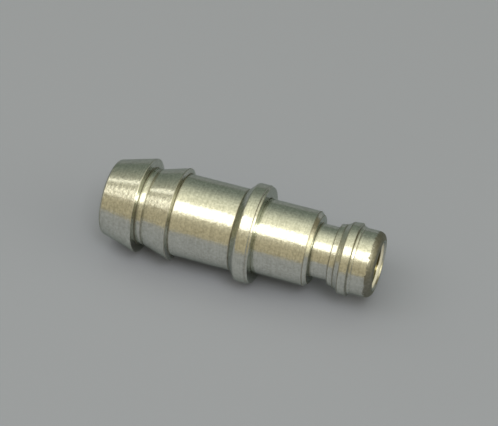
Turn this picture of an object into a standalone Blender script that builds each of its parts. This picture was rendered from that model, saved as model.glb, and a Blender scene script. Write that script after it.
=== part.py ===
"""Quick-coupler plug with a hose tail and a spring-loaded shut-off valve.

The plug lies along X with its axis through the origin: the barbed hose tail points to -X and
the nose that enters a coupler points to +X. The origin is the middle of its box. Lengths are in
metres. A station is a distance along the axis from the hose end, and turned outlines are lists
of (station, radius) points that run along the outer side from the nose end to the hose end.
"""

import math

import bmesh
import bpy
from mathutils import Matrix, Vector

LENGTH = 0.0338
SEGMENTS = 48
SEAL_SIDES = 12

# Gap between two pieces that rest on each other, and round a shaft that slides in its guide.
REST_GAP = 0.00025
SLIDE_GAP = 0.0001

# Hose tail: two barbs, a plain neck and the collar, which has a recess that the body sits in.
TAIL_BORE_R = 0.0034
HOSE_END_R = 0.0047
EDGE_CHAMFER = 0.0002
BARB_1_START = 0.00445
BARB_1_END = 0.00456
BARB_1_R = 0.00585
ROOT_START = 0.00464
ROOT_END = 0.00540
ROOT_R = 0.00475
BARB_2_PEAK = 0.00882
BARB_2_R = 0.00573
TAIL_NECK_START = 0.00902
TAIL_NECK_R = 0.00507
COLLAR_CONE_START = 0.01662
COLLAR_CONE_END = 0.01755
COLLAR_R = 0.00608
COLLAR_LAND_END = 0.01892
COLLAR_STEP = 0.01900
COLLAR_STEP_R = 0.00596
COLLAR_EDGE = 0.01924
COLLAR_EDGE_R = 0.00593
COLLAR_FACE = 0.01930
COLLAR_FACE_R = 0.00586
RECESS_FLOOR = 0.0189
RECESS_R = 0.00485
SOCKET_FLOOR = 0.0143
SOCKET_R = 0.00435

# Plug body: spigot, body, locking neck, ramp up to the locking bead, and nose.
SPIGOT_END = 0.0159
SPIGOT_R = 0.00405
SPIGOT_BORE_R = 0.00295
GROOVE_MIDDLE = 0.0180
GROOVE_HALF = 0.0005
GROOVE_FLOOR_R = 0.00355
BODY_FACE = RECESS_FLOOR + REST_GAP
BODY_R = 0.00459
BODY_LAND_END = 0.02560
BODY_END = 0.02608
BODY_END_R = 0.00418
NECK_R = 0.00328
NECK_END = 0.02838
RAMP_START = 0.02842
RAMP_START_R = 0.00374
RAMP_END = 0.02915
RAMP_END_R = 0.00390
BEAD_START = 0.02984
BEAD_START_R = 0.00437
BEAD_END = 0.03084
BEAD_R = 0.00446
NOSE_RING_START = 0.03092
NOSE_RING_START_R = 0.00417
NOSE_RING_END = 0.03124
NOSE_RING_END_R = 0.00412
NOSE_START = 0.03130
NOSE_R = 0.00404
NOSE_CORNER = 0.00084
NOSE_ARC_STEPS = 4
CHAMBER_R = 0.0035
CHAMBER_START = 0.0202
SEAT_START = 0.0232
THROAT_R = 0.00242
MOUTH_CONE_START = 0.03178
MOUTH_CONE_END = 0.03360
MOUTH_R = 0.00280
MOUTH_LIP_R = 0.00298

# Shut-off valve: poppet with a sealing ring, its spring and the drilled guide behind it.
STEM_R = 0.0008
STEM_END = 0.0135
HEAD_START = 0.0211
HEAD_END = 0.02295
HEAD_R = 0.00275
HEAD_FLAT = 0.0020
HEAD_EDGE = 0.00015
BOSS_R = 0.0017
BOSS_LENGTH = 0.0008
POPPET_GROOVE_R = 0.00185
FLANGE_START = 0.0241
FLANGE_END = 0.02475
FLANGE_R = 0.00225
WING_HUB_R = 0.0010
WING_HUB_END = 0.0316
PIN_R = 0.0005
PIN_END = 0.0330
PIN_TAPER = 0.0002
WING_START = 0.0253
WING_END = 0.0315
WING_R = 0.0022
WING_THICKNESS = 0.0007
WING_ANGLES = (-51.4, 68.6, 188.6)
GUIDE_START = SOCKET_FLOOR + REST_GAP
GUIDE_END = SPIGOT_END - REST_GAP
GUIDE_R = SOCKET_R - 0.0003
HUB_END = 0.0170
HUB_R = 0.0016
PORT_COUNT = 6
PORT_R = 0.00075
PORT_CIRCLE_R = 0.00245
SPRING_WIRE_R = 0.000225
SPRING_COIL_R = 0.0023
SPRING_TURNS = 5
SPRING_DEAD_TURNS = 0.75
SPRING_POINTS_PER_TURN = 16

# Sealing rings, each a ring radius and a section radius.
JOINT_SEAL_RING_R = 0.00395
JOINT_SEAL_SECTION_R = 0.0003
VALVE_SEAL_RING_R = 0.0024
VALVE_SEAL_SECTION_R = 0.00045
VALVE_SEAL_GAP = 0.0001

NICKEL = (0.60, 0.59, 0.55)
BRASS = (0.70, 0.52, 0.25)
SPRING_STEEL = (0.55, 0.56, 0.57)
SEAL_RUBBER = (0.03, 0.03, 0.032)


def clear_scene():
    for obj in list(bpy.data.objects):
        bpy.data.objects.remove(obj, do_unlink=True)


def new_collection(name, hidden=False):
    collection = bpy.data.collections.new(name)
    collection.hide_render = hidden
    bpy.context.scene.collection.children.link(collection)
    return collection


def new_material(name, colour, metallic, roughness):
    material = bpy.data.materials.new(name)
    material.use_nodes = True
    shader = material.node_tree.nodes["Principled BSDF"]
    shader.inputs["Base Color"].default_value = (*colour, 1.0)
    shader.inputs["Metallic"].default_value = metallic
    shader.inputs["Roughness"].default_value = roughness
    material.diffuse_color = (*colour, 1.0)
    return material


def along(station):
    """World X of a station on the axis."""
    return station - LENGTH / 2


def around(angle, radius):
    """World Y and Z of a point at this angle about the axis, in degrees from +Y towards +Z."""
    turn = math.radians(angle)
    return radius * math.cos(turn), radius * math.sin(turn)


def corner_arc(station, radius, size, steps):
    """Outline points of a quarter round that turns from an end face onto the outer side."""
    points = []
    for step in range(steps + 1):
        angle = math.radians(90 * step / steps)
        points.append((station + size * math.cos(angle), radius + size * math.sin(angle)))
    return points


def turned(name, outline, material, collection, closed=True):
    """Solid turned about the axis from an outline; an open outline starts and ends on the axis."""
    mesh = bpy.data.meshes.new(name)
    points = [(radius, 0.0, along(station)) for station, radius in outline]
    edges = [(i, i + 1) for i in range(len(points) - 1)]
    if closed:
        edges.append((len(points) - 1, 0))
    mesh.from_pydata(points, edges, [])
    obj = bpy.data.objects.new(name, mesh)
    collection.objects.link(obj)
    obj.rotation_euler = (0.0, math.pi / 2, 0.0)
    screw = obj.modifiers.new("turn", "SCREW")
    screw.axis = "Z"
    screw.angle = 2 * math.pi
    screw.steps = SEGMENTS
    screw.render_steps = SEGMENTS
    screw.use_merge_vertices = True
    screw.merge_threshold = 0.00001
    screw.use_smooth_shade = True
    mesh.materials.append(material)
    return obj


def sealing_ring(name, station, ring_r, section_r, material, collection):
    """Round-section ring about the axis."""
    bpy.ops.mesh.primitive_torus_add(
        major_radius=ring_r,
        minor_radius=section_r,
        major_segments=SEGMENTS,
        minor_segments=SEAL_SIDES,
        location=(along(station), 0.0, 0.0),
        rotation=(0.0, math.pi / 2, 0.0),
    )
    obj = bpy.context.object
    obj.name = name
    for owner in list(obj.users_collection):
        owner.objects.unlink(obj)
    collection.objects.link(obj)
    obj.data.shade_smooth()
    obj.data.materials.append(material)
    return obj


def add_boolean(target, cutter, operation):
    modifier = target.modifiers.new(cutter.name, "BOOLEAN")
    modifier.operation = operation
    modifier.solver = "EXACT"
    modifier.object = cutter


def as_helper(obj, collection):
    obj.hide_render = True
    obj.display_type = "WIRE"
    collection.objects.link(obj)
    return obj


def helper_box(name, size, centre, angle, collection):
    """Box of (along, outwards, across) size, centred outwards of the axis at this angle."""
    mesh = bpy.data.meshes.new(name)
    shape = bmesh.new()
    bmesh.ops.create_cube(shape, size=1.0)
    bmesh.ops.scale(shape, vec=Vector(size), verts=shape.verts)
    shape.to_mesh(mesh)
    shape.free()
    obj = as_helper(bpy.data.objects.new(name, mesh), collection)
    station, radius = centre
    obj.location = (along(station), *around(angle, radius))
    obj.rotation_euler = (math.radians(angle), 0.0, 0.0)
    return obj


def helper_drill(name, station, length, radius, angle, circle_r, collection):
    """Drill parallel to the axis, on a circle about it."""
    mesh = bpy.data.meshes.new(name)
    shape = bmesh.new()
    bmesh.ops.create_cone(
        shape,
        cap_ends=True,
        segments=SEGMENTS // 2,
        radius1=radius,
        radius2=radius,
        depth=length,
        matrix=Matrix.Rotation(math.pi / 2, 4, "Y"),
    )
    shape.to_mesh(mesh)
    shape.free()
    obj = as_helper(bpy.data.objects.new(name, mesh), collection)
    obj.location = (along(station), *around(angle, circle_r))
    return obj


def make_hose_tail(material, parts):
    outer = [
        (COLLAR_FACE, COLLAR_FACE_R),
        (COLLAR_EDGE, COLLAR_EDGE_R),
        (COLLAR_STEP, COLLAR_STEP_R),
        (COLLAR_LAND_END, COLLAR_R),
        (COLLAR_CONE_END, COLLAR_R),
        (COLLAR_CONE_START, TAIL_NECK_R),
        (TAIL_NECK_START, TAIL_NECK_R),
        (BARB_2_PEAK, BARB_2_R),
        (ROOT_END, ROOT_R),
        (ROOT_START, ROOT_R),
        (BARB_1_END, BARB_1_R),
        (BARB_1_START, BARB_1_R),
        (EDGE_CHAMFER, HOSE_END_R),
        (0.0, HOSE_END_R - EDGE_CHAMFER),
    ]
    inner = [
        (0.0, TAIL_BORE_R + EDGE_CHAMFER),
        (EDGE_CHAMFER, TAIL_BORE_R),
        (SOCKET_FLOOR, TAIL_BORE_R),
        (SOCKET_FLOOR, SOCKET_R),
        (RECESS_FLOOR, SOCKET_R),
        (RECESS_FLOOR, RECESS_R),
        (COLLAR_FACE, RECESS_R),
    ]
    return turned("hose_tail", outer + inner, material, parts)


def make_plug_body(material, parts):
    nose = corner_arc(LENGTH - NOSE_CORNER, NOSE_R - NOSE_CORNER, NOSE_CORNER, NOSE_ARC_STEPS)
    groove_right = GROOVE_MIDDLE + GROOVE_HALF
    groove_left = GROOVE_MIDDLE - GROOVE_HALF
    outer = nose + [
        (NOSE_START, NOSE_R),
        (NOSE_RING_END, NOSE_RING_END_R),
        (NOSE_RING_START, NOSE_RING_START_R),
        (BEAD_END, BEAD_R),
        (BEAD_START, BEAD_START_R),
        (RAMP_END, RAMP_END_R),
        (RAMP_START, RAMP_START_R),
        (NECK_END, NECK_R),
        (BODY_END, NECK_R),
        (BODY_END, BODY_END_R),
        (BODY_LAND_END, BODY_R),
        (BODY_FACE, BODY_R),
        (BODY_FACE, SPIGOT_R),
        (groove_right, SPIGOT_R),
        (groove_right, GROOVE_FLOOR_R),
        (groove_left, GROOVE_FLOOR_R),
        (groove_left, SPIGOT_R),
        (SPIGOT_END + EDGE_CHAMFER, SPIGOT_R),
        (SPIGOT_END, SPIGOT_R - EDGE_CHAMFER),
    ]
    inner = [
        (SPIGOT_END, SPIGOT_BORE_R),
        (CHAMBER_START - (CHAMBER_R - SPIGOT_BORE_R), SPIGOT_BORE_R),
        (CHAMBER_START, CHAMBER_R),
        (SEAT_START, CHAMBER_R),
        (SEAT_START + CHAMBER_R - THROAT_R, THROAT_R),
        (MOUTH_CONE_START, THROAT_R),
        (MOUTH_CONE_END, MOUTH_R),
        (LENGTH, MOUTH_LIP_R),
    ]
    return turned("plug_body", outer + inner, material, parts)


def make_valve_poppet(material, parts, helpers):
    outline = [
        (PIN_END, 0.0),
        (PIN_END, PIN_R - PIN_TAPER),
        (PIN_END - PIN_TAPER, PIN_R),
        (WING_HUB_END, PIN_R),
        (WING_HUB_END, WING_HUB_R),
        (FLANGE_END, WING_HUB_R),
        (FLANGE_END, FLANGE_R),
        (FLANGE_START, FLANGE_R),
        (FLANGE_START, POPPET_GROOVE_R),
        (HEAD_END, POPPET_GROOVE_R),
        (HEAD_END, HEAD_R - HEAD_EDGE),
        (HEAD_END - HEAD_EDGE, HEAD_R),
        (HEAD_START + HEAD_EDGE, HEAD_R),
        (HEAD_START, HEAD_R - HEAD_EDGE),
        (HEAD_START, BOSS_R),
        (HEAD_START - BOSS_LENGTH, BOSS_R),
        (HEAD_START - BOSS_LENGTH, STEM_R),
        (STEM_END + EDGE_CHAMFER, STEM_R),
        (STEM_END, STEM_R - EDGE_CHAMFER),
        (STEM_END, 0.0),
    ]
    poppet = turned("valve_poppet", outline, material, parts, closed=False)
    head_middle = (HEAD_START + HEAD_END) / 2
    cut_depth = HEAD_R - HEAD_FLAT + REST_GAP
    for count, angle in enumerate(WING_ANGLES):
        wing = helper_box(
            f"wing_{count}",
            (WING_END - WING_START, WING_R, WING_THICKNESS),
            ((WING_START + WING_END) / 2, WING_R / 2),
            angle,
            helpers,
        )
        add_boolean(poppet, wing, "UNION")
        flat = helper_box(
            f"head_flat_{count}",
            (HEAD_END - HEAD_START + REST_GAP, cut_depth, 2 * HEAD_R),
            (head_middle, HEAD_FLAT + cut_depth / 2),
            angle,
            helpers,
        )
        add_boolean(poppet, flat, "DIFFERENCE")
    return poppet


def make_valve_guide(material, parts, helpers):
    bore_r = STEM_R + SLIDE_GAP
    outline = [
        (HUB_END, HUB_R),
        (GUIDE_END, HUB_R),
        (GUIDE_END, GUIDE_R - EDGE_CHAMFER),
        (GUIDE_END - EDGE_CHAMFER, GUIDE_R),
        (GUIDE_START + EDGE_CHAMFER, GUIDE_R),
        (GUIDE_START, GUIDE_R - EDGE_CHAMFER),
        (GUIDE_START, bore_r),
        (HUB_END, bore_r),
    ]
    guide = turned("valve_guide", outline, material, parts)
    thickness = GUIDE_END - GUIDE_START
    for count in range(PORT_COUNT):
        drill = helper_drill(
            f"port_drill_{count}",
            (GUIDE_START + GUIDE_END) / 2,
            thickness + 2 * REST_GAP,
            PORT_R,
            360 * count / PORT_COUNT,
            PORT_CIRCLE_R,
            helpers,
        )
        add_boolean(guide, drill, "DIFFERENCE")
    return guide


def spring_points():
    """Centre line of the wire: flat dead turns at both ends and an even pitch between them."""
    start = GUIDE_END + REST_GAP + SPRING_WIRE_R
    end = HEAD_START - REST_GAP - SPRING_WIRE_R
    active = SPRING_TURNS - 2 * SPRING_DEAD_TURNS
    dead_rise = SPRING_DEAD_TURNS * 2 * SPRING_WIRE_R
    points = []
    for count in range(SPRING_TURNS * SPRING_POINTS_PER_TURN + 1):
        turns = count / SPRING_POINTS_PER_TURN
        if turns < SPRING_DEAD_TURNS:
            station = start + dead_rise * turns / SPRING_DEAD_TURNS
        elif turns > SPRING_TURNS - SPRING_DEAD_TURNS:
            station = end - dead_rise * (SPRING_TURNS - turns) / SPRING_DEAD_TURNS
        else:
            share = (turns - SPRING_DEAD_TURNS) / active
            station = start + dead_rise + share * (end - start - 2 * dead_rise)
        points.append((along(station), *around(360 * turns, SPRING_COIL_R)))
    return points


def make_valve_spring(material, parts):
    points = spring_points()
    curve = bpy.data.curves.new("valve_spring", "CURVE")
    curve.dimensions = "3D"
    curve.bevel_depth = SPRING_WIRE_R
    curve.bevel_resolution = 2
    curve.use_fill_caps = True
    spline = curve.splines.new("POLY")
    spline.points.add(len(points) - 1)
    for target, point in zip(spline.points, points):
        target.co = (*point, 1.0)
    curve.materials.append(material)
    spring = bpy.data.objects.new("valve_spring", curve)
    parts.objects.link(spring)
    return spring


def main():
    clear_scene()
    parts = new_collection("quick_coupler_plug")
    helpers = new_collection("cutters", hidden=True)
    nickel = new_material("nickel_plate", NICKEL, 1.0, 0.32)
    brass = new_material("turned_brass", BRASS, 1.0, 0.35)
    steel = new_material("spring_steel", SPRING_STEEL, 1.0, 0.3)
    rubber = new_material("seal_rubber", SEAL_RUBBER, 0.0, 0.6)

    make_hose_tail(nickel, parts)
    make_plug_body(nickel, parts)
    poppet = make_valve_poppet(nickel, parts, helpers)
    make_valve_guide(brass, parts, helpers)
    make_valve_spring(steel, parts)
    sealing_ring(
        "joint_seal",
        GROOVE_MIDDLE,
        JOINT_SEAL_RING_R,
        JOINT_SEAL_SECTION_R,
        rubber,
        parts,
    )
    seat_reach = math.sqrt(2) * (VALVE_SEAL_SECTION_R + VALVE_SEAL_GAP)
    seal_station = SEAT_START + CHAMBER_R - VALVE_SEAL_RING_R - seat_reach
    valve_seal = sealing_ring(
        "valve_seal",
        seal_station,
        VALVE_SEAL_RING_R,
        VALVE_SEAL_SECTION_R,
        rubber,
        parts,
    )

    # The poppet and its seal slide together along the axis, on an empty that lies on it.
    slide = bpy.data.objects.new("valve_slide_axis", None)
    parts.objects.link(slide)
    for obj in (poppet, valve_seal):
        obj.parent = slide


main()
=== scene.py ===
"""Looks of the quick-coupler plug: finely turned pieces in place of the faceted solids, their metal
and rubber finishes, a pale floor and soft studio light. Lengths are in metres, with +X towards the
nose and +Z up. A turned outline is a list of (x, radius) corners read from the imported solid.
"""

import math

import bmesh
import bpy
import numpy as np
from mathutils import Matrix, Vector, noise


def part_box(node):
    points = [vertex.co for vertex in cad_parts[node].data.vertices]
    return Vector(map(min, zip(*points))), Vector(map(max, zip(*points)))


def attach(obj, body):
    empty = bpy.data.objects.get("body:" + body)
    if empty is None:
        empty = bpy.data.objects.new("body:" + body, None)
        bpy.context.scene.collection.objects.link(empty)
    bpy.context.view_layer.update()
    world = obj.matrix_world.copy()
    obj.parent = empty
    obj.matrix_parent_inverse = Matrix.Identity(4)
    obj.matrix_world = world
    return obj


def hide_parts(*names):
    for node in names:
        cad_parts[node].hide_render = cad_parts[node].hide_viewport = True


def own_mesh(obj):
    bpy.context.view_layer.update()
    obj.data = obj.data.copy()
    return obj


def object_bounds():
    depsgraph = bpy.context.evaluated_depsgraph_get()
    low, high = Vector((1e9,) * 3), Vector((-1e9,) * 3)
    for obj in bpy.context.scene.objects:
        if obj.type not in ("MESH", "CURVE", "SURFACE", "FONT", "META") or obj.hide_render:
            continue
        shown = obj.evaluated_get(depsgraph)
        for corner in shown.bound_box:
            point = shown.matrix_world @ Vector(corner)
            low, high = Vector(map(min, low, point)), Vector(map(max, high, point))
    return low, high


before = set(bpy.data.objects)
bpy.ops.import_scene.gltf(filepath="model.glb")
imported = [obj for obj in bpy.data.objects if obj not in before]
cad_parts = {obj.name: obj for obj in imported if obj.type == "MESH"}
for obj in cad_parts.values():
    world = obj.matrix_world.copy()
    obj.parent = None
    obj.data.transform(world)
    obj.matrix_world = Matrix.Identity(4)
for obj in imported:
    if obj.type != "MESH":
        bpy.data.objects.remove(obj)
CAD_LOW, CAD_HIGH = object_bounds()

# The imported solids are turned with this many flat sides, with a corner at angle 0.
CAD_SIDES = 48
CAD_STEP = 360 / CAD_SIDES

# Points closer than this are one point, and a turn with a smaller sine than this is no corner.
MERGE = 0.0000002
STRAIGHT_TURN = 0.01

# Sides of the outer pieces, the valve's pieces, the seals, a seal's section and a port's drill.
SIDES = 192
INNER_SIDES = 96
SEAL_SIDES = 128
SEAL_SECTION_SIDES = 40
DRILL_SIDES = 40

# Rings of a turned piece: the longest straight run between two, their distances from a corner, the
# share of a run that an arc or such a distance may take, and how far even rings keep beyond them.
RUN = 0.0004
EDGE_RINGS = (0.00003, 0.00008, 0.00014, 0.00022, 0.00033)
RUN_SHARE = 0.45
EVEN_RING_GAP = 1.5

# Corners: radius of an ordinary edge, the collar's shoulder and the nose, how far behind its face
# the nose's radius counts, the turn between two points of an arc, and the gap round the body.
EDGE_ROUND = 0.00007
COLLAR_ROUND = 0.0004
NOSE_ROUND = 0.00084
NOSE_REACH = 1.1 * NOSE_ROUND
ARC_STEP = math.radians(12)
FIT_GAP = 0.00004

# Slight unevenness of the outer surfaces, as a height and a wavelength.
WAVE_HEIGHT = 0.0000035
WAVE_LENGTH = 0.0016

# How far painted shade reaches from an inside corner, and a painted dark line, standing in for the
# dark reflection there, from an outside edge. A corner is marked in full from this run and this
# sine of its turn on, and not at all below a shallow turn.
CORNER_SHADE_REACH = 0.00011
EDGE_SHADE_REACH = 0.00007
FULL_MARK_RUN = 0.00045
SHALLOW_TURN = 0.15
FULL_MARK_TURN = 0.45

# Zones of the nose: the fade of the painted shade on its dulled corner, the depths of the pale film
# painted as a highlight and of the painted shade behind the mouth's edge, and a radius between
# those of the mouth and of the nose's outside.
NOSE_SHADE_FADE = 0.0005
RIM_HIGHLIGHT_DEPTH = 0.00030
BORE_SHADE_DEPTH = 0.0040
MOUTH_LIMIT_R = 0.0031

# Colours of those zones: the painted shade on the corner and down the mouth, and the pale painted
# highlight. Then the tint of the metals' reflection at a grazing angle.
NOSE_SHADE_COLOUR = (0.155, 0.147, 0.112)
BORE_SHADE_COLOUR = (0.09, 0.08, 0.04)
RIM_HIGHLIGHT_COLOUR = (0.93, 0.91, 0.82)
EDGE_TINT = (0.60, 0.65, 0.61, 1.0)

# Noises of the metals, as a scale per metre and a detail. The rings' noise is stretched first.
RING_STRETCH = (6000.0, 160.0, 160.0)
RING_NOISE = (1.0, 4.0)
GRAIN_NOISE = (4200.0, 3.0)
MOTTLE_NOISE = (2800.0, 2.0)
SHADE_PATCH_NOISE = (420.0, 3.0)
DENT_NOISE = (2600.0, 3.0)

# How far grain and mottle sway the colour, next to the rings, and what centres the sum.
GRAIN_SWAY = 1.2
MOTTLE_SWAY = 1.8
SWAY_OFFSET = 1.5

# Painted shade in corners and along edges, broken into patches: the patches' least share, an
# outside edge's share of it, and the roughness that it adds.
SHADE_PATCH_LEAST = 0.3
EDGE_SHADE_SHARE = 0.7
SHADE_MARK_ROUGHNESS = 0.3

# Painted shade on the nose's dulled corner: how far the grain frays its border, where it starts
# and is full, how strongly it covers and how far the grain sways that, and the roughness that the
# dulled corner and the pale painted highlight add.
NOSE_SHADE_FRAY = 1.6
NOSE_SHADE_SPAN = (1.15, 1.45)
NOSE_SHADE_COVER = 0.55
NOSE_SHADE_COVER_SWAY = 0.5
DULL_ROUGHNESS = 0.28
MATTE_ROUGHNESS = 0.35

# Rubber: colours and noise of its speckle, its roughness and that roughness's spread, its bumps.
RUBBER_DARK = (0.018, 0.018, 0.019)
RUBBER_LIGHT = (0.042, 0.042, 0.045)
RUBBER_NOISE = (5200.0, 4.0)
RUBBER_ROUGHNESS = 0.42
RUBBER_SPREAD = 0.25
RUBBER_HEIGHT = 0.000004

# The poppet's outline: radii between those of its pin and hub, of hub and flange, and of flange
# and head, and the angle at which it is read, clear of flats and wings.
HUB_LIMIT_R = 0.0008
FLANGE_LIMIT_R = 0.0020
HEAD_LIMIT_R = 0.0025
WING_TURN_CUT = 11.25

# The poppet's wings and head flats, which the outline doesn't hold.
WING_ANGLES = (-51.4, 68.6, 188.6)
WING_R = 0.0022
WING_THICKNESS = 0.0007
WING_START_GAP = 0.00055
WING_END_GAP = 0.0001
FLAT_DISTANCE = 0.0020
FLAT_CUT_DEPTH = 0.001
FLAT_CUT_WIDTH = 0.0055
FLAT_CUT_SPARE = 0.0003

# The guide's ports, their drill, and the angle at which the guide's outline is read, clear of them.
PORT_COUNT = 6
PORT_R = 0.00075
PORT_CIRCLE_R = 0.00245
PORT_DRILL_LENGTH = 0.004
PORT_TURN_CUT = 33.75

# The spring's wire and turns.
SPRING_WIRE_R = 0.000225
SPRING_WIRE_STEPS = 5
SPRING_TURNS = 5
SPRING_DEAD_TURNS = 0.75
SPRING_POINTS_PER_TURN = 40

# Edges that turn further than this stay sharp, on cut pieces and on the wire's ends.
CUT_SHARP_ANGLE = math.radians(32)
WIRE_SHARP_ANGLE = math.radians(50)

# Floor: half its side, the cells along it, its colour and its roughness.
FLOOR_HALF = 2.0
FLOOR_CELLS = 8
FLOOR_COLOUR = (0.285, 0.31, 0.40, 1.0)
FLOOR_ROUGHNESS = 0.9

# Lamps, each as its place, size, colour and power. They run along the part: the main one overhead,
# and a thin one behind it over the tail. A lamp past the nose lights its mouth.
LAMPS = {
    "overhead": (Vector((-0.24, -0.23, 0.60)), (0.86, 0.34), (1.0, 0.96, 0.82), 1.55),
    "tail_strip": (Vector((-0.62, 0.19, 0.61)), (0.36, 0.09), (1.0, 0.96, 0.82), 0.15),
    "past_nose": (Vector((0.22, -0.25, 0.57)), (0.20, 0.20), (1.0, 0.96, 0.84), 1.0),
}

# Camera: a long lens above the near side, a little towards the nose.
LENS_MM = 122.9
SENSOR_MM = 36.0
CLIP_START = 0.001
CAMERA_AZIMUTH = 18.9
CAMERA_ELEVATION = 49.0
CAMERA_DISTANCE = 0.2040
CAMERA_AIM = Vector((0.0001, 0.0017, 0.0014))

# Surroundings: radiance behind, in front and past the nose, and where a direction's Y turns them
# from back to front and its X to past the nose.
WORLD_BACK = (0.18, 0.21, 0.175)
WORLD_FRONT = (0.46, 0.405, 0.265)
WORLD_PAST_NOSE = (0.17, 0.15, 0.09)
FRONT_SPAN = (0.9, -0.6)
PAST_NOSE_SPAN = (0.05, 0.7)

# A wide glow overhead.
GLOW = (0.88, 0.86, 0.65)
GLOW_DIRECTION = Vector((0.05, 0.06, 1.0)).normalized()
GLOW_FOCUS = 4.0

# A bright patch beyond the nose, low over the floor.
PATCH = (1.8, 1.68, 1.2)
PATCH_DIRECTION = Vector((0.9, -0.05, 0.40)).normalized()
PATCH_FOCUS = 16.0


def angle_axes(angle):
    """Unit vectors outwards and onwards at this angle about X, in degrees from +Y towards +Z."""
    turn = math.radians(angle)
    outwards = Vector((0, math.cos(turn), math.sin(turn)))
    onwards = Vector((0, -math.sin(turn), math.cos(turn)))
    return outwards, onwards


def section(node, cut_angle=CAD_STEP / 2):
    """Corners of a turned solid's half section, as (x, radius), in order round it."""
    outwards, onwards = angle_axes(cut_angle)
    shape = bmesh.new()
    shape.from_mesh(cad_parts[node].data)
    bmesh.ops.remove_doubles(shape, verts=shape.verts, dist=MERGE)
    cut = bmesh.ops.bisect_plane(
        shape,
        geom=shape.verts[:] + shape.edges[:] + shape.faces[:],
        dist=MERGE,
        plane_co=(0, 0, 0),
        plane_no=onwards,
    )
    shape.verts.index_update()
    facet = math.cos(math.radians(CAD_STEP / 2))
    links = {}
    place = {}
    for edge in (item for item in cut["geom_cut"] if isinstance(item, bmesh.types.BMEdge)):
        a, b = edge.verts
        if min(a.co.dot(outwards), b.co.dot(outwards)) < -MERGE:
            continue
        for one, other in ((a, b), (b, a)):
            links.setdefault(one.index, []).append(other.index)
            place[one.index] = (one.co.x, one.co.dot(outwards) / facet)
    shape.free()
    return without_straight_points(walk(links, place))


def walk(links, place):
    """The points in order: from an end of the chain, or round it if it is closed."""
    ends = [index for index, found in links.items() if len(found) == 1]
    here = max(ends or links, key=lambda index: place[index][0])
    last = None
    path = []
    while here is not None and (not path or here != path[0]):
        path.append(here)
        onward = [index for index in links[here] if index != last]
        if len(path) == 1:
            onward = [max(onward, key=lambda index: place[index][1])]
        last, here = here, (onward[0] if onward else None)
    return [place[index] for index in path]


def without_straight_points(points):
    """The points of a closed outline that are real corners."""
    kept = []
    for index, here in enumerate(points):
        before = kept[-1] if kept else points[-1]
        after = points[(index + 1) % len(points)]
        cross = (here[0] - before[0]) * (after[1] - here[1]) - (here[1] - before[1]) * (
            after[0] - here[0]
        )
        reach = math.dist(before, here) * math.dist(here, after)
        if reach and abs(cross) / reach > STRAIGHT_TURN:
            kept.append(here)
    return kept


def rounded(points, size_at, closed=True):
    """The outline with its corners turned into arcs; size_at(x, radius) is each corner's radius."""
    count = len(points)
    made = []
    for index, corner in enumerate(points):
        size = size_at(*corner)
        if size == 0.0 or (not closed and index in (0, count - 1)):
            made.append(corner)
            continue
        here = np.array(corner)
        before = np.array(points[index - 1]) - here
        after = np.array(points[(index + 1) % count]) - here
        room = RUN_SHARE * min(np.linalg.norm(before), np.linalg.norm(after))
        before /= np.linalg.norm(before)
        after /= np.linalg.norm(after)
        turn = math.pi - math.acos(max(-1.0, min(1.0, float(before @ after))))
        reach = min(size * math.tan(turn / 2), room)
        middle = (before + after) / np.linalg.norm(before + after)
        radius = reach / math.tan(turn / 2)
        centre = here + middle * math.hypot(reach, radius)
        start = here + before * reach - centre
        end = here + after * reach - centre
        steps = max(2, math.ceil(turn / ARC_STEP))
        for step in range(steps + 1):
            share = step / steps
            weights = (math.sin((1 - share) * turn), math.sin(share * turn))
            made.append(tuple(centre + (start * weights[0] + end * weights[1]) / math.sin(turn)))
    return made


def with_rings(points, closed=True):
    """The outline with points added along its straight runs, close behind each end and between."""
    count = len(points) if closed else len(points) - 1
    made = []
    for index in range(count):
        here = np.array(points[index])
        there = np.array(points[(index + 1) % len(points)])
        length = float(np.linalg.norm(there - here))
        made.append(tuple(here))
        near = [ring for ring in EDGE_RINGS if ring < RUN_SHARE * length]
        steps = math.ceil(length / RUN)
        between = [length * step / steps for step in range(1, steps)]
        reach = EVEN_RING_GAP * max(near, default=0.0)
        between = [place for place in between if reach < place < length - reach]
        places = near + between + [length - ring for ring in reversed(near)]
        made += [tuple(here + (there - here) * (place / length)) for place in places]
    if not closed:
        made.append(points[-1])
    return made


def corner_marks(points, corners, size_at, closed):
    """How near each outline point is to an inside corner and to an outside edge, from 0 to 1."""
    count = len(corners)
    twice_area = sum(
        a[0] * b[1] - b[0] * a[1] for a, b in zip(corners, corners[1:] + corners[:1])
    )
    inside = []
    outside = []
    for index, corner in enumerate(corners):
        if not closed and index in (0, count - 1):
            continue
        before = np.subtract(corner, corners[index - 1])
        after = np.subtract(corners[(index + 1) % count], corner)
        cross = before[0] * after[1] - before[1] * after[0]
        runs = np.linalg.norm(before), np.linalg.norm(after)
        turn = abs(cross) / (runs[0] * runs[1])
        sharpness = min(1.0, max(0.0, (turn - SHALLOW_TURN) / (FULL_MARK_TURN - SHALLOW_TURN)))
        strength = float(sharpness * min(1.0, min(runs) / FULL_MARK_RUN))
        if cross * twice_area < 0:
            inside.append((corner, strength))
        elif size_at(*corner) <= EDGE_ROUND:
            outside.append((corner, strength))

    def nearness(point, found, reach):
        fades = [
            strength * math.exp(-((math.dist(point, corner) / reach) ** 2))
            for corner, strength in found
        ]
        return max(fades, default=0.0)

    # Painted shade at inside corners, and painted dark lines standing in for reflections at outside
    # edges.
    painted_corner_shade = [nearness(point, inside, CORNER_SHADE_REACH) for point in points]
    painted_edge_shade = [nearness(point, outside, EDGE_SHADE_REACH) for point in points]
    return painted_corner_shade, painted_edge_shade


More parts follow.
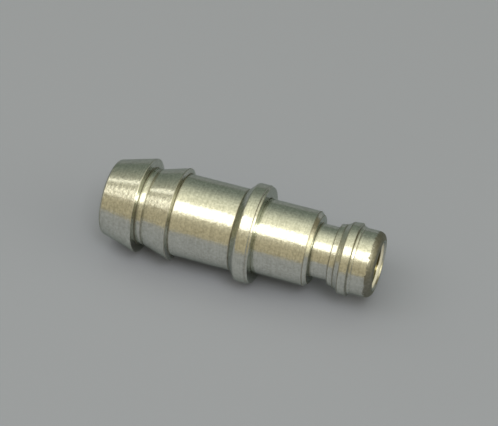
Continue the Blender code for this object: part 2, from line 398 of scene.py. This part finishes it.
def turned(name, corners, size_at=None, sides=SIDES, closed=True, zones=None):
    """Mesh object turned about X from an outline's corners, with its rounding and its marks.

    Each of the zones names a mark and gives its strength at a point (x, radius).
    """
    size_at = size_at or (lambda x, radius: EDGE_ROUND)
    points = with_rings(rounded(corners, size_at, closed), closed)
    painted_corner_shade, painted_edge_shade = corner_marks(points, corners, size_at, closed)
    marks = {"painted_corner_shade": painted_corner_shade, "painted_edge_shade": painted_edge_shade}
    for zone, strength_at in (zones or {}).items():
        marks[zone] = [float(strength_at(*point)) for point in points]
    shape = bmesh.new()
    layers = {key: shape.verts.layers.float.new(key) for key in marks}
    rings = []
    for index, (x, radius) in enumerate(points):
        around = 1 if radius < MERGE else sides
        ring = []
        for side in range(around):
            outwards, _ = angle_axes(360 * side / sides)
            vert = shape.verts.new(Vector((x, 0, 0)) + outwards * max(radius, 0.0))
            for key, layer in layers.items():
                vert[layer] = marks[key][index]
            ring.append(vert)
        rings.append(ring)
    pairs = list(zip(rings, rings[1:]))
    if closed:
        pairs.append((rings[-1], rings[0]))
    for one, other in pairs:
        for side in range(sides):
            following = (side + 1) % sides
            quad = [
                one[side % len(one)],
                other[side % len(other)],
                other[following % len(other)],
                one[following % len(one)],
            ]
            shape.faces.new(list(dict.fromkeys(quad)))
    bmesh.ops.recalc_face_normals(shape, faces=shape.faces)
    mesh = bpy.data.meshes.new(name)
    shape.to_mesh(mesh)
    shape.free()
    mesh.shade_smooth()
    obj = bpy.data.objects.new(name, mesh)
    bpy.context.scene.collection.objects.link(obj)
    return obj


def make_uneven(obj):
    """Moves the surface towards the axis by a few thousandths of a millimetre."""
    for vert in obj.data.vertices:
        outwards = Vector((0, vert.co.y, vert.co.z))
        if outwards.length < MERGE:
            continue
        wave = noise.noise(vert.co / WAVE_LENGTH)
        vert.co -= outwards.normalized() * WAVE_HEIGHT * (1 + wave)


def even_normals(obj):
    modifier = obj.modifiers.new("even_normals", "WEIGHTED_NORMAL")
    modifier.keep_sharp = True


def show(obj, node, body, material):
    """The piece stands for this solid, rides on this body and takes this finish."""
    obj.data.materials.clear()
    obj.data.materials.append(material)
    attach(obj, body)
    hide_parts(node)


def value_noise(tree, vector, scale, detail):
    node = tree.nodes.new("ShaderNodeTexNoise")
    node.inputs["Scale"].default_value = scale
    node.inputs["Detail"].default_value = detail
    tree.links.new(vector, node.inputs["Vector"])
    return node.outputs["Fac"]


def scaled(tree, vector, scale):
    node = tree.nodes.new("ShaderNodeMapping")
    node.inputs["Scale"].default_value = scale
    tree.links.new(vector, node.inputs["Vector"])
    return node.outputs["Vector"]


def math_node(tree, operation, first, second, third=None):
    node = tree.nodes.new("ShaderNodeMath")
    node.operation = operation
    for socket, value in zip(node.inputs, (first, second, third)):
        if value is None:
            continue
        if isinstance(value, (int, float)):
            socket.default_value = value
        else:
            tree.links.new(value, socket)
    return node.outputs["Value"]


def smooth_step(tree, value, low, high):
    """From 0 at low to 1 at high."""
    node = tree.nodes.new("ShaderNodeMapRange")
    node.interpolation_type = "SMOOTHSTEP"
    node.inputs["From Min"].default_value = low
    node.inputs["From Max"].default_value = high
    tree.links.new(value, node.inputs["Value"])
    return node.outputs["Result"]


def mark(tree, name):
    node = tree.nodes.new("ShaderNodeAttribute")
    node.attribute_name = name
    return node.outputs["Fac"]


def mix_colour(tree, share, first, second):
    node = tree.nodes.new("ShaderNodeMix")
    node.data_type = "RGBA"
    tree.links.new(share, node.inputs["Factor"])
    for socket, value in ((node.inputs["A"], first), (node.inputs["B"], second)):
        if isinstance(value, tuple):
            socket.default_value = (*value, 1.0)
        else:
            tree.links.new(value, socket)
    return node.outputs["Result"]


def turned_metal(
    name, light, dark, painted_shade_colour, roughness, spread, ring_height, grain_height, nose=False
):
    """Turned metal: fine rings round the axis, a satin grain, painted shade in corners and on
    edges.

    Roughness varies by about the spread, and the two heights are those of the rings and the grain.
    With nose, it has the plug's nose as well: painted shade on its dulled corner and down its
    mouth, and a pale painted highlight round the mouth's edge.
    """
    material = bpy.data.materials.new(name)
    material.use_nodes = True
    tree = material.node_tree
    shader = tree.nodes["Principled BSDF"]
    place = tree.nodes.new("ShaderNodeTexCoord").outputs["Object"]

    rings = value_noise(tree, scaled(tree, place, RING_STRETCH), *RING_NOISE)
    grain = value_noise(tree, place, *GRAIN_NOISE)
    mottle = value_noise(tree, place, *MOTTLE_NOISE)
    patches = value_noise(tree, place, *SHADE_PATCH_NOISE)
    # Painted shade: in inside corners, and as dark lines along outside edges, broken into patches.
    painted_corner_shade = mark(tree, "painted_corner_shade")
    painted_edge_shade = mark(tree, "painted_edge_shade")

    broken = math_node(tree, "ADD", patches, SHADE_PATCH_LEAST)
    marks = math_node(tree, "MAXIMUM", painted_corner_shade, math_node(tree, "MULTIPLY", painted_edge_shade, EDGE_SHADE_SHARE))
    painted_shade = math_node(tree, "MULTIPLY", marks, broken)
    shade = math_node(tree, "MULTIPLY_ADD", grain, GRAIN_SWAY, rings)
    shade = math_node(tree, "MULTIPLY_ADD", mottle, MOTTLE_SWAY, shade)
    shade = math_node(tree, "SUBTRACT", shade, SWAY_OFFSET)
    colour = mix_colour(tree, shade, dark, light)

    rough = math_node(tree, "MULTIPLY_ADD", grain, spread, roughness - spread / 2)
    rough = math_node(tree, "MULTIPLY_ADD", rings, spread / 2, rough)
    rough = math_node(tree, "MULTIPLY_ADD", painted_shade, SHADE_MARK_ROUGHNESS, rough)
    shader.inputs["Metallic"].default_value = 1.0
    if nose:
        # Painted shade on the nose's dulled corner, its border frayed by the grain.
        painted_nose_shade = math_node(tree, "MULTIPLY_ADD", grain, NOSE_SHADE_FRAY, mark(tree, "painted_nose_shade"))
        painted_nose_shade = smooth_step(tree, painted_nose_shade, *NOSE_SHADE_SPAN)
        cover = math_node(tree, "MULTIPLY_ADD", grain, NOSE_SHADE_COVER_SWAY, NOSE_SHADE_COVER)
        cover = math_node(tree, "MULTIPLY", cover, painted_nose_shade)
        # A pale film painted as a highlight round the mouth's edge.
        painted_rim_highlight = mark(tree, "painted_rim_highlight")
        colour = mix_colour(tree, cover, colour, NOSE_SHADE_COLOUR)
        # Painted shade down the mouth.
        colour = mix_colour(tree, mark(tree, "painted_bore_shade"), colour, BORE_SHADE_COLOUR)
        colour = mix_colour(tree, painted_rim_highlight, colour, RIM_HIGHLIGHT_COLOUR)
        rough = math_node(tree, "MULTIPLY_ADD", painted_nose_shade, DULL_ROUGHNESS, rough)
        rough = math_node(tree, "MULTIPLY_ADD", painted_rim_highlight, MATTE_ROUGHNESS, rough)
        tree.links.new(math_node(tree, "SUBTRACT", 1.0, painted_rim_highlight), shader.inputs["Metallic"])
    # Mixes the painted shade into the colour.
    colour = mix_colour(tree, painted_shade, colour, painted_shade_colour)
    tree.links.new(colour, shader.inputs["Base Color"])
    tree.links.new(rough, shader.inputs["Roughness"])
    shader.inputs["Specular Tint"].default_value = EDGE_TINT

    coarse = tree.nodes.new("ShaderNodeBump")
    coarse.inputs["Distance"].default_value = grain_height
    tree.links.new(value_noise(tree, place, *DENT_NOISE), coarse.inputs["Height"])
    fine = tree.nodes.new("ShaderNodeBump")
    fine.inputs["Distance"].default_value = ring_height
    tree.links.new(rings, fine.inputs["Height"])
    tree.links.new(coarse.outputs["Normal"], fine.inputs["Normal"])
    tree.links.new(fine.outputs["Normal"], shader.inputs["Normal"])
    return material


def moulded_rubber(name):
    """Satin black rubber with a fine speckle."""
    material = bpy.data.materials.new(name)
    material.use_nodes = True
    tree = material.node_tree
    shader = tree.nodes["Principled BSDF"]
    place = tree.nodes.new("ShaderNodeTexCoord").outputs["Object"]
    speckle = value_noise(tree, place, *RUBBER_NOISE)
    colour = mix_colour(tree, speckle, RUBBER_DARK, RUBBER_LIGHT)
    tree.links.new(colour, shader.inputs["Base Color"])
    rough = math_node(tree, "MULTIPLY_ADD", speckle, RUBBER_SPREAD, RUBBER_ROUGHNESS)
    tree.links.new(rough, shader.inputs["Roughness"])
    bump = tree.nodes.new("ShaderNodeBump")
    bump.inputs["Distance"].default_value = RUBBER_HEIGHT
    tree.links.new(speckle, bump.inputs["Height"])
    tree.links.new(bump.outputs["Normal"], shader.inputs["Normal"])
    return material


# The two outer pieces share one plating.
PLATING = dict(
    light=(0.80, 0.803, 0.74),
    dark=(0.56, 0.563, 0.512),
    painted_shade_colour=(0.11, 0.09, 0.045),
    roughness=0.175,
    spread=0.12,
    ring_height=0.0000015,
    grain_height=0.000013,
)
NICKEL = turned_metal("nickel_plate", **PLATING)
NOSE_NICKEL = turned_metal("nose_nickel_plate", nose=True, **PLATING)
VALVE_NICKEL = turned_metal(
    "valve_nickel_plate",
    light=(0.74, 0.72, 0.67),
    dark=(0.58, 0.57, 0.52),
    painted_shade_colour=(0.14, 0.12, 0.08),
    roughness=0.2,
    spread=0.08,
    ring_height=0.0000008,
    grain_height=0.000001,
)
BARE_BRASS = turned_metal(
    "bare_brass",
    light=(0.78, 0.60, 0.30),
    dark=(0.60, 0.42, 0.18),
    painted_shade_colour=(0.16, 0.10, 0.04),
    roughness=0.3,
    spread=0.1,
    ring_height=0.000001,
    grain_height=0.000001,
)
SPRING_WIRE = turned_metal(
    "spring_wire",
    light=(0.62, 0.63, 0.64),
    dark=(0.48, 0.49, 0.50),
    painted_shade_colour=(0.12, 0.11, 0.10),
    roughness=0.25,
    spread=0.08,
    ring_height=0.0000006,
    grain_height=0.0000006,
)
RUBBER = moulded_rubber("seal_rubber")


def make_hose_tail():
    """The tail; its recess closes up round the body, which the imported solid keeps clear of."""
    corners = section("hose_tail")
    top = max(radius for x, radius in corners)
    shoulder = min(x for x, radius in corners if radius > top - MERGE)
    body_r = max(radius for x, radius in section("plug_body"))
    recess_r = min(radius for x, radius in corners if x > shoulder and radius > body_r)
    corners = [
        (x, body_r + FIT_GAP if x > shoulder and abs(radius - recess_r) < MERGE else radius)
        for x, radius in corners
    ]

    def size_at(x, radius):
        return COLLAR_ROUND if x == shoulder else EDGE_ROUND

    tail = turned("hose_tail_turned", corners, size_at)
    make_uneven(tail)
    even_normals(tail)
    show(tail, "hose_tail", "root", NICKEL)


def make_plug_body():
    """The body with its rounded nose, whose zones are told apart by where they lie on it."""
    high_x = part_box("plug_body")[1].x

    def size_at(x, radius):
        nose = x > high_x - NOSE_REACH and radius > MOUTH_LIMIT_R
        return NOSE_ROUND if nose else EDGE_ROUND

    # Where shade is painted on the nose's dulled corner.
    def on_corner(x, radius):
        share = (x - high_x + NOSE_ROUND) / NOSE_SHADE_FADE + 0.5
        return min(1.0, max(0.0, share)) if radius > MOUTH_LIMIT_R else 0.0

    # Where a pale film is painted as a highlight at the mouth's edge.
    def in_mouth_edge(x, radius):
        return edge_x - RIM_HIGHLIGHT_DEPTH < x <= edge_x and radius < mouth_r + MERGE

    # Where shade is painted down the mouth.
    def down_mouth(x, radius):
        return x <= edge_x - RIM_HIGHLIGHT_DEPTH and radius < mouth_r and x > edge_x - BORE_SHADE_DEPTH

    corners = section("plug_body")
    inside = [(x, radius) for x, radius in corners if radius < MOUTH_LIMIT_R]
    edge_x, mouth_r = max(place for place in inside if place[0] < high_x - MERGE)
    zones = {"painted_nose_shade": on_corner, "painted_rim_highlight": in_mouth_edge, "painted_bore_shade": down_mouth}
    body = turned("plug_body_turned", corners, size_at, zones=zones)
    make_uneven(body)
    even_normals(body)
    show(body, "plug_body", "root", NOSE_NICKEL)


def make_seal(node):
    """Round-section ring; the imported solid's box gives its ring radius and its section."""
    low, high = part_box(node)
    section_r = (high.x - low.x) / 2
    ring_r = high.y - section_r
    middle = (high.x + low.x) / 2
    circle = []
    for step in range(SEAL_SECTION_SIDES):
        angle = 2 * math.pi * step / SEAL_SECTION_SIDES
        circle.append((middle + section_r * math.cos(angle), ring_r + section_r * math.sin(angle)))
    seal = turned(node + "_ring", circle, lambda x, radius: 0.0, sides=SEAL_SIDES)
    show(seal, node, "valve" if node == "valve_seal" else "root", RUBBER)


def cutter_box(name, size, centre, angle):
    """Box of (along, outwards, across) size, centred outwards of the axis at this angle."""
    outwards, _ = angle_axes(angle)
    mesh = bpy.data.meshes.new(name)
    shape = bmesh.new()
    bmesh.ops.create_cube(shape, size=1.0)
    bmesh.ops.scale(shape, vec=Vector(size), verts=shape.verts)
    shape.to_mesh(mesh)
    shape.free()
    obj = bpy.data.objects.new(name, mesh)
    bpy.context.scene.collection.objects.link(obj)
    obj.location = Vector((centre[0], 0, 0)) + outwards * centre[1]
    obj.rotation_euler = (math.radians(angle), 0, 0)
    return obj


def cutter_drill(name, centre_x, angle):
    """Drill along X for the guide's port at this angle."""
    outwards, _ = angle_axes(angle)
    mesh = bpy.data.meshes.new(name)
    shape = bmesh.new()
    bmesh.ops.create_cone(
        shape,
        cap_ends=True,
        segments=DRILL_SIDES,
        radius1=PORT_R,
        radius2=PORT_R,
        depth=PORT_DRILL_LENGTH,
    )
    shape.to_mesh(mesh)
    shape.free()
    obj = bpy.data.objects.new(name, mesh)
    bpy.context.scene.collection.objects.link(obj)
    obj.location = Vector((centre_x, 0, 0)) + outwards * PORT_CIRCLE_R
    obj.rotation_euler = (0, math.pi / 2, 0)
    return obj


def join_and_cut(obj, steps):
    """Joins or cuts each helper in turn, applies that, and keeps the new edges sharp."""
    for helper, operation in steps:
        modifier = obj.modifiers.new(helper.name, "BOOLEAN")
        modifier.operation = operation
        modifier.solver = "EXACT"
        modifier.object = helper
    bpy.context.view_layer.update()
    graph = bpy.context.evaluated_depsgraph_get()
    mesh = bpy.data.meshes.new_from_object(obj.evaluated_get(graph))
    obj.modifiers.clear()
    obj.data = mesh
    for helper, _ in steps:
        bpy.data.objects.remove(helper)
    mesh.shade_smooth()
    mesh.set_sharp_from_angle(angle=CUT_SHARP_ANGLE)


def make_valve_poppet():
    """The poppet, turned first, then with each wing joined on and each head flat cut."""
    corners = section("valve_poppet", WING_TURN_CUT)
    flange_end = max(x for x, radius in corners if radius > FLANGE_LIMIT_R)
    hub_end = max(x for x, radius in corners if radius > HUB_LIMIT_R)
    head = [x for x, radius in corners if radius > HEAD_LIMIT_R]
    poppet = turned("valve_poppet_turned", corners, sides=INNER_SIDES, closed=False)
    wing_start = flange_end + WING_START_GAP
    wing_end = hub_end - WING_END_GAP
    steps = []
    for index, angle in enumerate(WING_ANGLES):
        wing = cutter_box(
            f"wing_{index}",
            (wing_end - wing_start, WING_R, WING_THICKNESS),
            ((wing_start + wing_end) / 2, WING_R / 2),
            angle,
        )
        steps.append((wing, "UNION"))
        flat = cutter_box(
            f"flat_{index}",
            (max(head) - min(head) + FLAT_CUT_SPARE, FLAT_CUT_DEPTH, FLAT_CUT_WIDTH),
            ((max(head) + min(head)) / 2, FLAT_DISTANCE + FLAT_CUT_DEPTH / 2),
            angle,
        )
        steps.append((flat, "DIFFERENCE"))
    join_and_cut(poppet, steps)
    show(poppet, "valve_poppet", "valve", VALVE_NICKEL)


def make_valve_guide():
    """The guide, turned first, then with its ports drilled."""
    corners = section("valve_guide", PORT_TURN_CUT)
    guide = turned("valve_guide_turned", corners, sides=INNER_SIDES)
    low_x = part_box("valve_guide")[0].x
    steps = []
    for index in range(PORT_COUNT):
        drill = cutter_drill(f"drill_{index}", low_x, 360 * index / PORT_COUNT)
        steps.append((drill, "DIFFERENCE"))
    join_and_cut(guide, steps)
    show(guide, "valve_guide", "root", BARE_BRASS)


def spring_line(low_x, high_x, coil_r):
    """Centre line of the wire: flat dead turns at both ends and an even pitch between them."""
    start = low_x + SPRING_WIRE_R
    end = high_x - SPRING_WIRE_R
    active = SPRING_TURNS - 2 * SPRING_DEAD_TURNS
    dead_rise = SPRING_DEAD_TURNS * 2 * SPRING_WIRE_R
    points = []
    for count in range(SPRING_TURNS * SPRING_POINTS_PER_TURN + 1):
        turns = count / SPRING_POINTS_PER_TURN
        if turns < SPRING_DEAD_TURNS:
            x = start + dead_rise * turns / SPRING_DEAD_TURNS
        elif turns > SPRING_TURNS - SPRING_DEAD_TURNS:
            x = end - dead_rise * (SPRING_TURNS - turns) / SPRING_DEAD_TURNS
        else:
            share = (turns - SPRING_DEAD_TURNS) / active
            x = start + dead_rise + share * (end - start - 2 * dead_rise)
        outwards, _ = angle_axes(360 * turns)
        points.append(Vector((x, 0, 0)) + outwards * coil_r)
    return points


def make_valve_spring():
    """The spring, a round wire along its line."""
    low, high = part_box("valve_spring")
    points = spring_line(low.x, high.x, high.y - SPRING_WIRE_R)
    curve = bpy.data.curves.new("valve_spring_line", "CURVE")
    curve.dimensions = "3D"
    curve.bevel_depth = SPRING_WIRE_R
    curve.bevel_resolution = SPRING_WIRE_STEPS
    curve.use_fill_caps = True
    spline = curve.splines.new("POLY")
    spline.points.add(len(points) - 1)
    for target, point in zip(spline.points, points):
        target.co = (*point, 1.0)
    wire = bpy.data.objects.new("valve_spring_line", curve)
    bpy.context.scene.collection.objects.link(wire)
    bpy.context.view_layer.update()
    graph = bpy.context.evaluated_depsgraph_get()
    mesh = bpy.data.meshes.new_from_object(wire.evaluated_get(graph))
    bpy.data.objects.remove(wire)
    mesh.shade_smooth()
    mesh.set_sharp_from_angle(angle=WIRE_SHARP_ANGLE)
    spring = bpy.data.objects.new("valve_spring_coil", mesh)
    bpy.context.scene.collection.objects.link(spring)
    show(spring, "valve_spring", "root", SPRING_WIRE)
    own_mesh(spring)


def make_floor():
    mesh = bpy.data.meshes.new("floor")
    shape = bmesh.new()
    bmesh.ops.create_grid(
        shape, x_segments=FLOOR_CELLS, y_segments=FLOOR_CELLS, size=FLOOR_HALF
    )
    shape.to_mesh(mesh)
    shape.free()
    floor = bpy.data.objects.new("floor", mesh)
    bpy.context.scene.collection.objects.link(floor)
    floor.location.z = CAD_LOW.z
    material = bpy.data.materials.new("pale_floor")
    material.use_nodes = True
    shader = material.node_tree.nodes["Principled BSDF"]
    shader.inputs["Base Color"].default_value = FLOOR_COLOUR
    shader.inputs["Roughness"].default_value = FLOOR_ROUGHNESS
    mesh.materials.append(material)


def aim(obj, target):
    """Points a lamp or camera at the target, with its top edge level."""
    obj.rotation_mode = "QUATERNION"
    obj.rotation_quaternion = (target - obj.location).to_track_quat("-Z", "Y")


def soft_light(name, place, size, colour, power):
    """Flat lamp that faces the part's axis squarely, so that its long side lies along X."""
    light = bpy.data.lights.new(name, "AREA")
    light.shape = "RECTANGLE"
    light.size, light.size_y = size
    light.color = colour
    light.energy = power
    obj = bpy.data.objects.new(name, light)
    bpy.context.scene.collection.objects.link(obj)
    obj.location = place
    aim(obj, Vector((place.x, 0, 0)))


def make_lights():
    for name, settings in LAMPS.items():
        soft_light(name, *settings)


def with_glow(tree, direction, colour, glow_colour, glow_direction, focus):
    """The colour, plus a glow that is brightest in the glow's direction."""
    towards = tree.nodes.new("ShaderNodeVectorMath")
    towards.operation = "DOT_PRODUCT"
    towards.inputs[1].default_value = glow_direction
    tree.links.new(direction, towards.inputs[0])
    facing = math_node(tree, "MAXIMUM", towards.outputs["Value"], 0.0)
    glow = tree.nodes.new("ShaderNodeVectorMath")
    glow.operation = "MULTIPLY_ADD"
    glow.inputs[0].default_value = glow_colour
    tree.links.new(math_node(tree, "POWER", facing, focus), glow.inputs[1])
    tree.links.new(colour, glow.inputs[2])
    return glow.outputs["Vector"]


def make_world():
    """Soft surroundings: dim behind, darker past the nose and warm in front, with a glow overhead
    and a bright patch low past the nose.
    """
    world = bpy.data.worlds.new("studio")
    bpy.context.scene.world = world
    world.use_nodes = True
    tree = world.node_tree
    background = tree.nodes["Background"]
    direction = tree.nodes.new("ShaderNodeTexCoord").outputs["Generated"]
    parts = tree.nodes.new("ShaderNodeSeparateXYZ")
    tree.links.new(direction, parts.inputs["Vector"])
    front = smooth_step(tree, parts.outputs["Y"], *FRONT_SPAN)
    past_nose = smooth_step(tree, parts.outputs["X"], *PAST_NOSE_SPAN)
    colour = mix_colour(tree, front, WORLD_BACK, WORLD_FRONT)
    colour = mix_colour(tree, past_nose, colour, WORLD_PAST_NOSE)
    colour = with_glow(tree, direction, colour, GLOW, GLOW_DIRECTION, GLOW_FOCUS)
    colour = with_glow(tree, direction, colour, PATCH, PATCH_DIRECTION, PATCH_FOCUS)
    tree.links.new(colour, background.inputs["Color"])


def make_camera():
    camera = bpy.data.cameras.new("camera")
    camera.lens = LENS_MM
    camera.sensor_width = SENSOR_MM
    camera.clip_start = CLIP_START
    obj = bpy.data.objects.new("camera", camera)
    bpy.context.scene.collection.objects.link(obj)
    azimuth = math.radians(CAMERA_AZIMUTH)
    elevation = math.radians(CAMERA_ELEVATION)
    back = Vector(
        (
            math.sin(azimuth) * math.cos(elevation),
            -math.cos(azimuth) * math.cos(elevation),
            math.sin(elevation),
        )
    )
    middle = (CAD_LOW + CAD_HIGH) / 2 + CAMERA_AIM
    obj.location = middle + back * CAMERA_DISTANCE
    aim(obj, middle)
    bpy.context.scene.camera = obj


make_hose_tail()
make_plug_body()
make_valve_poppet()
make_valve_guide()
make_valve_spring()
make_seal("joint_seal")
make_seal("valve_seal")
make_floor()
make_lights()
make_world()
make_camera()
bpy.context.scene.view_settings.view_transform = "Standard"
